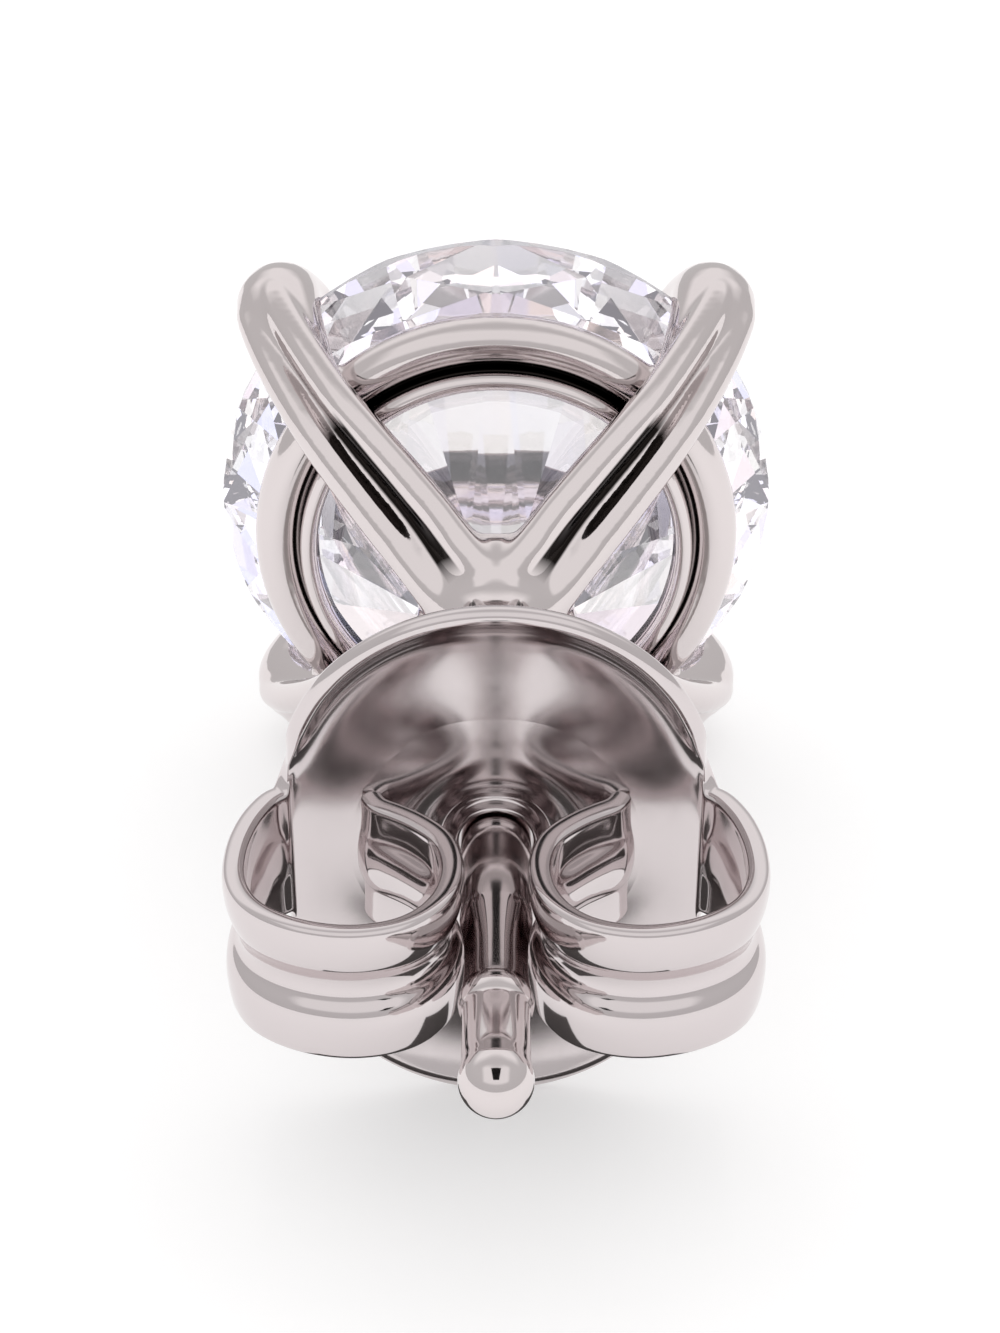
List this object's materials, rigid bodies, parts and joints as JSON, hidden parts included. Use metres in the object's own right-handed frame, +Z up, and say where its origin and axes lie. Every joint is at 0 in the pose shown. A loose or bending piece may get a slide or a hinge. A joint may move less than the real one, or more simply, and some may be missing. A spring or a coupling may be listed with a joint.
{
  "type": "diamond stud earring",
  "caption": "Stud earring: round brilliant stone in a wire basket with split prongs and a gallery ring, notched straight post and a push-on butterfly back.",
  "frame": {"origin": "on the surface it lies on, below the middle of its bounding box", "axes": "+Z up; +Y from the post's tip towards the stone's table, the post leaning about 4 degrees tip down as the stud lies; +X across"},
  "size_m": [0.008, 0.0146, 0.008],
  "materials": {
    "setting_metal": "mirror polished white metal",
    "clear_stone": "polished facets",
    "back_metal": "mirror polished white metal"
  },
  "bodies": {
    "earring": {"setting": "setting_metal", "stone": "clear_stone"},
    "back": {"butterfly_back": "back_metal"}
  },
  "joints": [
    {"name": "back_slide", "type": "slide", "parent": "earring", "child": "back", "axis": [0, -0.9975, -0.0703], "range_m": [-0.0035, 0.006]}
  ]
}
